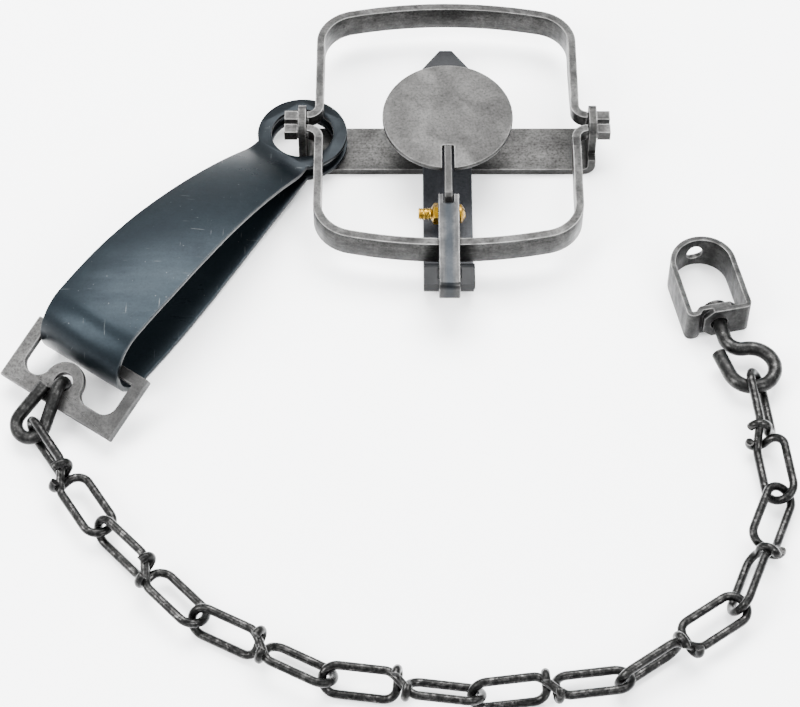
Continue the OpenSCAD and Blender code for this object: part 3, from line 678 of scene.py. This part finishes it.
def flat_blank(loops, cuts):
    """The flat sheet between an outline and its holes, x along it and y across it, in millimetres."""
    blank = bmesh.new()
    for loop in loops:
        corners = [blank.verts.new((x, y, 0.0)) for x, y in loop]
        for here, after in zip(corners, corners[1:] + corners[:1]):
            blank.edges.new((here, after))
    bmesh.ops.triangle_fill(blank, use_beauty=True, edges=blank.edges[:])
    bmesh.ops.dissolve_limit(blank, angle_limit=FLAT_ANGLE, verts=blank.verts[:], edges=blank.edges[:],
                             delimit={"NORMAL"})
    for cut in cuts:
        everything = blank.verts[:] + blank.edges[:] + blank.faces[:]
        bmesh.ops.bisect_plane(blank, geom=everything, dist=CUT_REACH, plane_co=(cut, 0.0, 0.0),
                               plane_no=(1.0, 0.0, 0.0))
    return blank


def new_object(name, mesh, material):
    piece = add_object(name, mesh)
    mesh.materials.clear()
    mesh.materials.append(material)
    return piece


def settle(piece, sharp_angle):
    """Turn a piece with live modifiers into a plain mesh with smooth faces and sharp corners."""
    settled = piece.evaluated_get(bpy.context.evaluated_depsgraph_get())
    mesh = bpy.data.meshes.new_from_object(settled)
    piece.modifiers.clear()
    piece.data = mesh
    mesh.shade_smooth()
    mesh.set_sharp_from_angle(angle=math.radians(sharp_angle))


def rolled(name, blank, placed, thickness, material):
    """Move a blank's points to where placed(x, y) puts them, and give it a thickness."""
    for corner in blank.verts:
        corner.co = placed(corner.co.x, corner.co.y) * MM
    bmesh.ops.recalc_face_normals(blank, faces=blank.faces[:])
    mesh = bpy.data.meshes.new(name)
    blank.to_mesh(mesh)
    blank.free()
    piece = new_object(name, mesh, material)
    thicken = piece.modifiers.new("thicken", "SOLIDIFY")
    thicken.thickness = thickness * MM
    thicken.offset = 0.0
    break_edges(piece, ROLLED_EDGE, ROLLED_EDGE_ANGLE)
    settle(piece, ROLLED_SHARP)
    return piece


# %% [markdown]
# The blade is narrow where it leaves the eye and widens to its full width with a soft shoulder. Its
# outline is known only through its half width, so both edges are walked in short steps.

# %% Roll the spring
EYE_RADIUS = 17.7
EYE_HOLE_RADIUS = 12.2
EYE_STEPS = 63
WAIST = (9.0, 11.6)
FLARE = (97.0, 18.3)
SHOULDER = 0.7
NECK_SEARCH = 0.01
NECK_CLEAR = 1.0
EDGE_STEP = 4.0


def blade_half(reach):
    """Half the blade's width at a reach from the nearer eye."""
    slope = (FLARE[1] - WAIST[1]) / (FLARE[0] - WAIST[0])
    spare = FLARE[1] - WAIST[1] - slope * (reach - WAIST[0])
    return FLARE[1] - SHOULDER * math.log(1 + math.exp(spare / SHOULDER))


def neck_reach():
    """Reach at which the widening blade leaves the round of the eye."""
    reach = WAIST[0]
    while math.hypot(reach, blade_half(reach)) < EYE_RADIUS:
        reach += NECK_SEARCH
    return reach


neck = neck_reach()
neck_turn = math.atan2(blade_half(neck), neck)
spring_cuts = bend_cuts(STRIP_RUNS)
near_side = [neck + EDGE_STEP * k for k in range(1, int((lower_run - neck) / EDGE_STEP))]
far_side = [c for c in spring_cuts if lower_run < c < strip_length - neck - NECK_CLEAR]
edge = [(x, blade_half(x)) for x in near_side] + [(x, blade_half(strip_length - x)) for x in far_side]
outline = ring(0.0, EYE_RADIUS, neck_turn, 2 * math.pi - neck_turn, EYE_STEPS) + [(x, -y) for x, y in edge]
outline += ring(strip_length, EYE_RADIUS, neck_turn - math.pi, math.pi - neck_turn, EYE_STEPS) + edge[::-1]
eye_holes = [hole(x, EYE_HOLE_RADIUS) for x in (0.0, strip_length)]
eye_centre = Vector((eye_place.x, eye_place.y, 0.0)) / MM
outward = Vector((math.cos(SPRING_HEADING), math.sin(SPRING_HEADING), 0.0))
sideways = Vector((-outward.y, outward.x, 0.0))


def on_strip(x, y):
    reach, height = along(STRIP_RUNS, x, -lower_pitch)
    return eye_centre + reach * outward + y * sideways + Vector((0.0, 0.0, LOWER_EYE_HEIGHT + height))


spring_blank = flat_blank([outline] + eye_holes, spring_cuts)
strip = rolled("spring_strip", spring_blank, on_strip, STRIP_THICKNESS, spring_skin.material)
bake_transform(strip)
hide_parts("spring_lower_arm", "spring_bend", "spring_upper_arm")
print("strip faces:", len(strip.data.polygons))

# %% [markdown]
# The swivel box is one strap too. One end is set back by its own thickness, the strap goes round an
# arch, and the other end is laid over the first. Both ends have their corners cut off.

# %% Roll the swivel box
STRAP_WIDTH = 14.5
STRAP_THICKNESS = 2.0
STRAP_CHAMFER = 3.6
BOX_WIDTH = 25.0
BOX_LENGTH = 36.5
BOX_CORNER = 2.5
INNER_END = 8.2
INNER_DEPTH = 1.5 * STRAP_THICKNESS
OUTER_END = -6.0
JOG_RADIUS = 1.8
JOG_TURN = math.radians(50.0)
JOG_STEP = 8.0
CORNER_STEP = 10.0
ARCH_STEP = 5.0
SHANK_HOLE_RADIUS = 3.3
FIX_HOLE_RADIUS = 3.5
QUARTER = math.pi / 2
arch_radius = (BOX_WIDTH - STRAP_THICKNESS) / 2
side_run = BOX_LENGTH - BOX_WIDTH / 2 - BOX_CORNER
corner_radius = BOX_CORNER - STRAP_THICKNESS / 2
corner_at = BOX_WIDTH / 2 - BOX_CORNER
jog_slant = (STRAP_THICKNESS - 2 * JOG_RADIUS * (1 - math.cos(JOG_TURN))) / math.sin(JOG_TURN)
jog_width = 2 * JOG_RADIUS * math.sin(JOG_TURN) + jog_slant * math.cos(JOG_TURN)
before_arch = [
    straight(INNER_END - OUTER_END),
    arc(JOG_RADIUS, JOG_TURN, JOG_STEP),
    straight(jog_slant),
    arc(JOG_RADIUS, -JOG_TURN, JOG_STEP),
    straight(corner_at + OUTER_END - jog_width),
    arc(corner_radius, -QUARTER, CORNER_STEP),
    straight(side_run),
]
arch = arc(arch_radius, -math.pi, ARCH_STEP)
after_arch = [straight(side_run), arc(corner_radius, -QUARTER, CORNER_STEP), straight(corner_at - OUTER_END)]
STRAP_RUNS = before_arch + [arch] + after_arch
strap_length = total(STRAP_RUNS)
arch_middle = total(before_arch) + total([arch]) / 2
half_strap = STRAP_WIDTH / 2
cut_off = half_strap - STRAP_CHAMFER
far_chamfer = strap_length - STRAP_CHAMFER
strap_outline = [(0.0, cut_off), (0.0, -cut_off), (STRAP_CHAMFER, -half_strap), (far_chamfer, -half_strap),
                 (strap_length, -cut_off), (strap_length, cut_off), (far_chamfer, half_strap),
                 (STRAP_CHAMFER, half_strap)]
strap_holes = [hole(INNER_END, SHANK_HOLE_RADIUS), hole(arch_middle, FIX_HOLE_RADIUS),
               hole(strap_length + OUTER_END, SHANK_HOLE_RADIUS)]
box_end = joint_at("swivel_spin") / MM
box_out = joint_axis("swivel_spin")
box_side = Vector((-box_out.y, box_out.x, 0.0))


def on_strap(x, y):
    out, across = along(STRAP_RUNS, x, -QUARTER)
    return box_end + (out - INNER_DEPTH) * box_out + (INNER_END + across) * box_side + Vector((0.0, 0.0, y))


strap_blank = flat_blank([strap_outline] + strap_holes, bend_cuts(STRAP_RUNS))
strap = rolled("swivel_strap", strap_blank, on_strap, STRAP_THICKNESS, zinc.material)
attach(strap, "swivel_box")
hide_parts("swivel_box")
print("strap length, mm:", round(strap_length, 1))

# %% [markdown]
# A chain link here is a single wire with a loop at each end, the two a quarter turn apart. Each end
# comes back to the middle, crosses over the wire that runs through, and is curled round it. The
# path is written once, for one loop. The other loop is the same path turned over, run backwards.

# %% The path of a link's wire
LINK_PITCH = 50.5
WIRE_RADIUS = 1.6
LINK_PLAY = 0.75
LOOP_HALF = 5.4
LOOP_START = -WIRE_RADIUS - LINK_PLAY
KNOT = LINK_PITCH / 2
KNOT_BEND = 4.6
KNOT_SIDE = 1.65
SWING = 6.0
CURL_GAP = 0.05
CURL_RADIUS = 2 * WIRE_RADIUS + CURL_GAP
CURL_END = math.radians(225.0)
CURL_SLIP = 0.6
CURL_STEPS = 10
CROSS_STEPS = 7
KNOT_STEPS = 8
LEG_STEPS = 6
LOOP_STEPS = 20
THROUGH_STEPS = 24


def ease(share):
    return share * share * (3 - 2 * share)


def through_wire(x):
    """The wire that runs through the knot, passing from the first loop's plane to the second's."""
    share = ease(min(1.0, max(0.0, (x - KNOT + SWING) / (2 * SWING))))
    return Vector((x, -LOOP_HALF * (1 - share), -LOOP_HALF * share))


def loop_points():
    """One loop from the curled end to the middle of the knot, x towards the knot."""
    cross_x = KNOT - KNOT_SIDE
    held = through_wire(cross_x)
    points = []
    for share in shares(CURL_STEPS):
        y, z = on_circle(CURL_RADIUS, CURL_END + (QUARTER - CURL_END) * share)
        points.append(held + Vector((-CURL_SLIP * (1 - share), y, z)))
    top = points[-1].copy()
    bend_y = LOOP_HALF - KNOT_BEND
    for share in shares(CROSS_STEPS)[1:-1]:
        points.append(Vector((cross_x, top.y + (bend_y - top.y) * share, top.z * (1 - ease(share)))))
    for share in shares(KNOT_STEPS):
        x, y = on_circle(KNOT_BEND, QUARTER * share)
        points.append(Vector((cross_x - KNOT_BEND + x, bend_y + y, 0.0)))
    leg_start = points[-1].x
    leg_end = LOOP_START + LOOP_HALF
    for share in shares(LEG_STEPS)[1:-1]:
        points.append(Vector((leg_start + (leg_end - leg_start) * share, LOOP_HALF, 0.0)))
    for share in shares(LOOP_STEPS):
        x, y = on_circle(LOOP_HALF, QUARTER + math.pi * share)
        points.append(Vector((leg_end + x, y, 0.0)))
    for share in shares(THROUGH_STEPS)[1:]:
        points.append(through_wire(leg_end + (KNOT - leg_end) * share))
    return points


def link_points():
    first = loop_points()
    second = [Vector((LINK_PITCH - p.x, p.z, p.y)) for p in first]
    return first + second[-2::-1]


print("points along one link's wire:", len(link_points()))

# %% [markdown]
# Sweeping a round section along a path is a job for Geometry Nodes: the path's edges become a
# curve, a circle follows it, and the ends are closed. The tree is built once and used by every wire.

# %% A tree that sweeps wire
WIRE_INPUTS = {"Path": "NodeSocketGeometry", "Wire radius": "NodeSocketFloat", "Sides": "NodeSocketInt",
               "Finish": "NodeSocketMaterial"}
WIRE_SHARP = 45.0


def wire_tree():
    tree = bpy.data.node_groups.new("bent_wire", "GeometryNodeTree")
    for name, kind in WIRE_INPUTS.items():
        tree.interface.new_socket(name, in_out="INPUT", socket_type=kind)
    tree.interface.new_socket("Wire", in_out="OUTPUT", socket_type="NodeSocketGeometry")
    given = tree.nodes.new("NodeGroupInput")
    curve = tree.nodes.new("GeometryNodeMeshToCurve")
    section = tree.nodes.new("GeometryNodeCurvePrimitiveCircle")
    sweep = tree.nodes.new("GeometryNodeCurveToMesh")
    sweep.inputs["Fill Caps"].default_value = True
    whole = tree.nodes.new("GeometryNodeRealizeInstances")
    coat = tree.nodes.new("GeometryNodeSetMaterial")
    result = tree.nodes.new("NodeGroupOutput")
    joins = [
        (given.outputs["Path"], curve.inputs["Mesh"]),
        (given.outputs["Wire radius"], section.inputs["Radius"]),
        (given.outputs["Sides"], section.inputs["Resolution"]),
        (curve.outputs["Curve"], sweep.inputs["Curve"]),
        (section.outputs["Curve"], sweep.inputs["Profile Curve"]),
        (sweep.outputs["Mesh"], whole.inputs["Geometry"]),
        (whole.outputs["Geometry"], coat.inputs["Geometry"]),
        (given.outputs["Finish"], coat.inputs["Material"]),
        (coat.outputs["Geometry"], result.inputs["Wire"]),
    ]
    for source, target in joins:
        tree.links.new(source, target)
    return tree


BENT_WIRE = wire_tree()


def swept_wire(name, points, radius, sides, material):
    """A plain mesh of round wire along points in metres, with its radius in millimetres."""
    path = bpy.data.meshes.new(name)
    path.from_pydata(points, [(k, k + 1) for k in range(len(points) - 1)], [])
    piece = new_object(name, path, material)
    sweep = piece.modifiers.new("sweep", "NODES")
    sweep.node_group = BENT_WIRE
    values = {"Wire radius": radius * MM, "Sides": sides, "Finish": material}
    for socket in BENT_WIRE.interface.items_tree:
        if socket.in_out == "INPUT" and socket.name in values:
            sweep[socket.identifier] = values[socket.name]
    settle(piece, WIRE_SHARP)
    return piece


print("nodes in the tree:", len(BENT_WIRE.nodes))

# %% [markdown]
# Each link is placed between its own joint and the next one, and rolled to the way it lies on the
# floor. The rolls are the only numbers that the joints can't tell.

# %% Lay the chain
LINK_ROLLS = (266, 250, 238, 233, 247, 276, 301, 150)
LINK_SIDES = 14
link_starts = [joint_at(f"chain_link_{i}_turn") for i in range(1, 9)] + [joint_at("swivel_hook_turn")]


def turned(degrees, axis):
    return Matrix.Rotation(math.radians(degrees), 4, axis)


def link_frame(start, end, roll):
    forward = (end - start).normalized()
    level = Vector((-forward.y, forward.x, 0.0)).normalized()
    upright = forward.cross(level)
    heading = Matrix((forward, level, upright)).transposed().to_4x4()
    return Matrix.Translation(start) @ heading @ turned(roll, "X")


for i, roll in enumerate(LINK_ROLLS):
    place = link_frame(link_starts[i], link_starts[i + 1], roll)
    laid = [place @ (p * MM) for p in link_points()]
    name = f"chain_link_{i + 1}"
    link = swept_wire(f"{name}_wire", laid, WIRE_RADIUS, LINK_SIDES, wire_steel.material)
    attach(link, name)
    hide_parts(name)
print("links laid:", len(LINK_ROLLS))

# %% [markdown]
# The hook between plate and chain is bent from thicker wire. Its path is told as a list of runs,
# bends and rolls, followed like a walk: each leg starts where the last one ended.

# %% Bend the hook
HOOK_WIRE_RADIUS = 2.5
HOOK_SIDES = 18
HOOK_TAIL = 3.0
HOOK_BEND_RADIUS = 4.4
HOOK_SHANK = 14.2
HOOK_LOOP_RADIUS = 5.6
HOOK_LOOP_TURN = -203.0
HOOK_RETURN = 14.4
HOOK_LEGS = [("run", HOOK_TAIL), ("bend", HOOK_BEND_RADIUS, 180.0), ("roll", 90.0), ("run", HOOK_SHANK),
             ("bend", HOOK_LOOP_RADIUS, HOOK_LOOP_TURN), ("run", HOOK_RETURN)]
HOOK_SLOPE = 20.0
HOOK_LEAN = 17.0
BEND_STEP = 9.0
RUN_STEPS = 4


def walk(legs):
    """Points along a wire that starts at the origin and runs along x, in millimetres."""
    here = Matrix.Identity(4)
    points = [here.translation.copy()]
    for kind, size, *bend in legs:
        if kind == "roll":
            here = here @ turned(size, "X")
            continue
        steps = RUN_STEPS
        turn = 0.0
        move = (size / steps, 0.0, 0.0)
        if kind == "bend":
            steps = math.ceil(abs(bend[0]) / BEND_STEP)
            turn = math.radians(bend[0]) / steps
            move = (size * math.sin(abs(turn)), math.copysign(size, turn) * (1 - math.cos(turn)), 0.0)
        for _ in range(steps):
            here = here @ Matrix.Translation(move) @ Matrix.Rotation(turn, 4, "Z")
            points.append(here.translation.copy())
    return points


def in_metres(start_frame, points):
    return [(start_frame @ p) * MM for p in points]


plate_hole = Matrix.Translation(joint_at("hook_swing") / MM)
hook_lie = Matrix.Rotation(SPRING_HEADING, 4, "Z") @ turned(HOOK_SLOPE, "Y") @ turned(HOOK_LEAN, "Z")
tail_end = Matrix.Translation((HOOK_BEND_RADIUS + HOOK_TAIL, 0.0, -HOOK_BEND_RADIUS))
hook_frame = plate_hole @ hook_lie @ tail_end @ turned(180.0, "Z") @ turned(90.0, "X")
hook_line = in_metres(hook_frame, walk(HOOK_LEGS))
hook = swept_wire("s_hook_wire", hook_line, HOOK_WIRE_RADIUS, HOOK_SIDES, hook_steel.material)
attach(hook, "s_hook")
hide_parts("s_hook")
print("points along the hook:", len(hook_line))

# %% [markdown]
# The swivel's hook is walked the same way, from its shank in the strap round to a long straight tip.
# Inside the strap the shank ends in a flat riveted head, which is only a very short, very thick wire.

# %% Bend the swivel hook
SWIVEL_WIRE_RADIUS = 2.7
SWIVEL_SIDES = 20
SHANK_PLAY = 0.4
SHANK = 2 * STRAP_THICKNESS + SHANK_PLAY
NECK_RUN = 7.5
NECK_RADIUS = 6.0
SWIVEL_LOOP_RADIUS = 8.8
SWIVEL_LOOP_TURN = -262.0
TIP_RUN = 10.0
SWIVEL_LEGS = [("run", SHANK + NECK_RUN), ("bend", NECK_RADIUS, 90.0),
               ("bend", SWIVEL_LOOP_RADIUS, SWIVEL_LOOP_TURN), ("run", TIP_RUN)]
HEAD_RADIUS = 4.75
HEAD_HEIGHT = 3.0
HEAD_SIDES = 24
box_turn = Matrix((box_out, box_side, Vector((0.0, 0.0, 1.0)))).transposed().to_4x4()
shank_frame = Matrix.Translation(box_end) @ box_turn @ Matrix.Translation((-SHANK, 0.0, 0.0))
swivel_line = in_metres(shank_frame, walk(SWIVEL_LEGS))
swivel = swept_wire("swivel_hook_wire", swivel_line, SWIVEL_WIRE_RADIUS, SWIVEL_SIDES, hook_steel.material)
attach(swivel, "swivel_hook")
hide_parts("swivel_hook")
head_line = in_metres(shank_frame, [Vector((-HEAD_HEIGHT, 0.0, 0.0)), Vector((0.0, 0.0, 0.0))])
head = swept_wire("swivel_head", head_line, HEAD_RADIUS, HEAD_SIDES, hook_steel.material)
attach(head, "swivel_hook")
print("points along the swivel hook:", len(swivel_line))

# %% [markdown]
# A screw thread is a fine wire too, wound round the bolt between its end and the nut.

# %% Wind the thread
THREAD_RADIUS = 2.05
THREAD_PITCH = 0.8
THREAD_WIRE = 0.3
THREAD_SIDES = 6
TURN_STEPS = 20
bolt_axis = joint_at("pan_tilt") / MM
bolt_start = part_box("pan_bolt")[0][0] / MM + THREAD_WIRE
bolt_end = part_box("pan_nut")[0][0] / MM
thread_line = []
for k in range(int((bolt_end - bolt_start) / THREAD_PITCH * TURN_STEPS) + 1):
    y, z = on_circle(THREAD_RADIUS, 2 * math.pi * k / TURN_STEPS)
    x = bolt_start + THREAD_PITCH * k / TURN_STEPS
    thread_line.append(Vector((x, bolt_axis.y + y, bolt_axis.z + z)) * MM)
thread = swept_wire("bolt_thread", thread_line, THREAD_WIRE, THREAD_SIDES, brass.material)
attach(thread, "base")
print("points along the thread:", len(thread_line))
